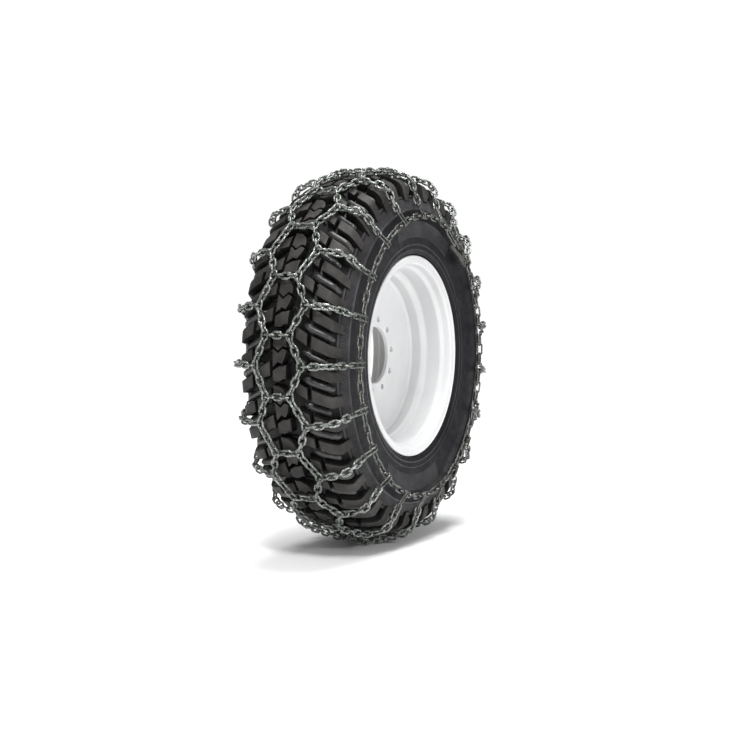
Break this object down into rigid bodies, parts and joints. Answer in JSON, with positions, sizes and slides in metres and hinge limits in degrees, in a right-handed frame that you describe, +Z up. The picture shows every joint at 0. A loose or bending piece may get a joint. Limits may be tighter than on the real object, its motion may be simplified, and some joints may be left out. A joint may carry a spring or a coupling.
{
  "type": "tire snow chain",
  "caption": "Honeycomb snow chain with side chains and a closing lever, fitted on a block-tread tractor tyre and its steel wheel.",
  "frame": {"origin": "centre of the wheel, on the face of the disc that bolts to the hub", "axes": "+Y along the axle towards the vehicle, +Z up, -Y is the outer face of the wheel"},
  "size_m": [1.4467, 0.5013, 1.4486],
  "materials": {
    "tread_chain_steel": "zinc-grey hardened steel, dull",
    "side_chain_steel": "zinc-grey steel, dull and slightly darker",
    "lever_steel": "forged steel, dull",
    "wheel_paint": "pale silver-white paint, satin",
    "tyre_rubber": "black rubber, matt",
    "valve_rubber": "black rubber",
    "cap_plastic": "black plastic"
  },
  "bodies": {
    "wheel": {"rim_barrel": "wheel_paint", "wheel_disc": "wheel_paint", "valve_stem": "valve_rubber", "tyre": "tyre_rubber"},
    "valve_cap": {"valve_cap": "cap_plastic"},
    "chain_set": {"tread_cell_01": "tread_chain_steel", "tread_cell_02": "tread_chain_steel", "tread_cell_03": "tread_chain_steel", "tread_cell_04": "tread_chain_steel", "tread_cell_05": "tread_chain_steel", "tread_cell_06": "tread_chain_steel", "tread_cell_07": "tread_chain_steel", "tread_cell_08": "tread_chain_steel", "tread_cell_09": "tread_chain_steel", "tread_cell_10": "tread_chain_steel", "tread_cell_11": "tread_chain_steel", "tread_cell_12": "tread_chain_steel", "tread_cell_13": "tread_chain_steel", "tread_cell_14": "tread_chain_steel", "tread_cell_15": "tread_chain_steel", "tread_cell_16": "tread_chain_steel", "tread_cell_17": "tread_chain_steel", "tread_cell_18": "tread_chain_steel", "tread_cell_19": "tread_chain_steel", "tread_cell_20": "tread_chain_steel", "tread_cell_21": "tread_chain_steel", "outer_cross_chain_01": "tread_chain_steel", "outer_cross_chain_02": "tread_chain_steel", "outer_cross_chain_03": "tread_chain_steel", "outer_cross_chain_04": "tread_chain_steel", "outer_cross_chain_05": "tread_chain_steel", "outer_cross_chain_06": "tread_chain_steel", "outer_cross_chain_07": "tread_chain_steel", "outer_cross_chain_08": "tread_chain_steel", "outer_cross_chain_09": "tread_chain_steel", "outer_cross_chain_10": "tread_chain_steel", "outer_cross_chain_11": "tread_chain_steel", "outer_cross_chain_12": "tread_chain_steel", "outer_cross_chain_13": "tread_chain_steel", "outer_cross_chain_14": "tread_chain_steel", "outer_cross_chain_15": "tread_chain_steel", "outer_cross_chain_16": "tread_chain_steel", "outer_cross_chain_17": "tread_chain_steel", "outer_cross_chain_18": "tread_chain_steel", "outer_cross_chain_19": "tread_chain_steel", "outer_cross_chain_20": "tread_chain_steel", "outer_cross_chain_21": "tread_chain_steel", "inner_cross_chains": "tread_chain_steel", "outer_side_hooks": "side_chain_steel", "inner_side_hooks": "side_chain_steel", "outer_side_chain": "side_chain_steel", "inner_side_chain": "side_chain_steel", "closing_plate": "side_chain_steel", "lever_pin": "lever_steel", "keeper_ring": "side_chain_steel", "inner_closing_hook": "side_chain_steel"},
    "closing_lever": {"closing_lever": "lever_steel"},
    "keeper": {"keeper_link": "side_chain_steel"}
  },
  "joints": [
    {"name": "chain_creep", "type": "hinge", "parent": "wheel", "child": "chain_set", "pos_m": [0, 0, 0], "axis": [0, 1, 0], "continuous": true},
    {"name": "lever_swing", "type": "hinge", "parent": "chain_set", "child": "closing_lever", "pos_m": [0.34505, -0.236, 0.36019], "axis": [0, -1, 0], "range_deg": [0, 150]},
    {"name": "keeper_lift", "type": "hinge", "parent": "chain_set", "child": "keeper", "pos_m": [0.17715, -0.2375, 0.4837], "axis": [-0.5714, 0, -0.8207], "range_deg": [0, 25]},
    {"name": "valve_cap_off", "type": "slide", "parent": "wheel", "child": "valve_cap", "axis": [0, -1, 0], "range_m": [0, 0.03]}
  ]
}
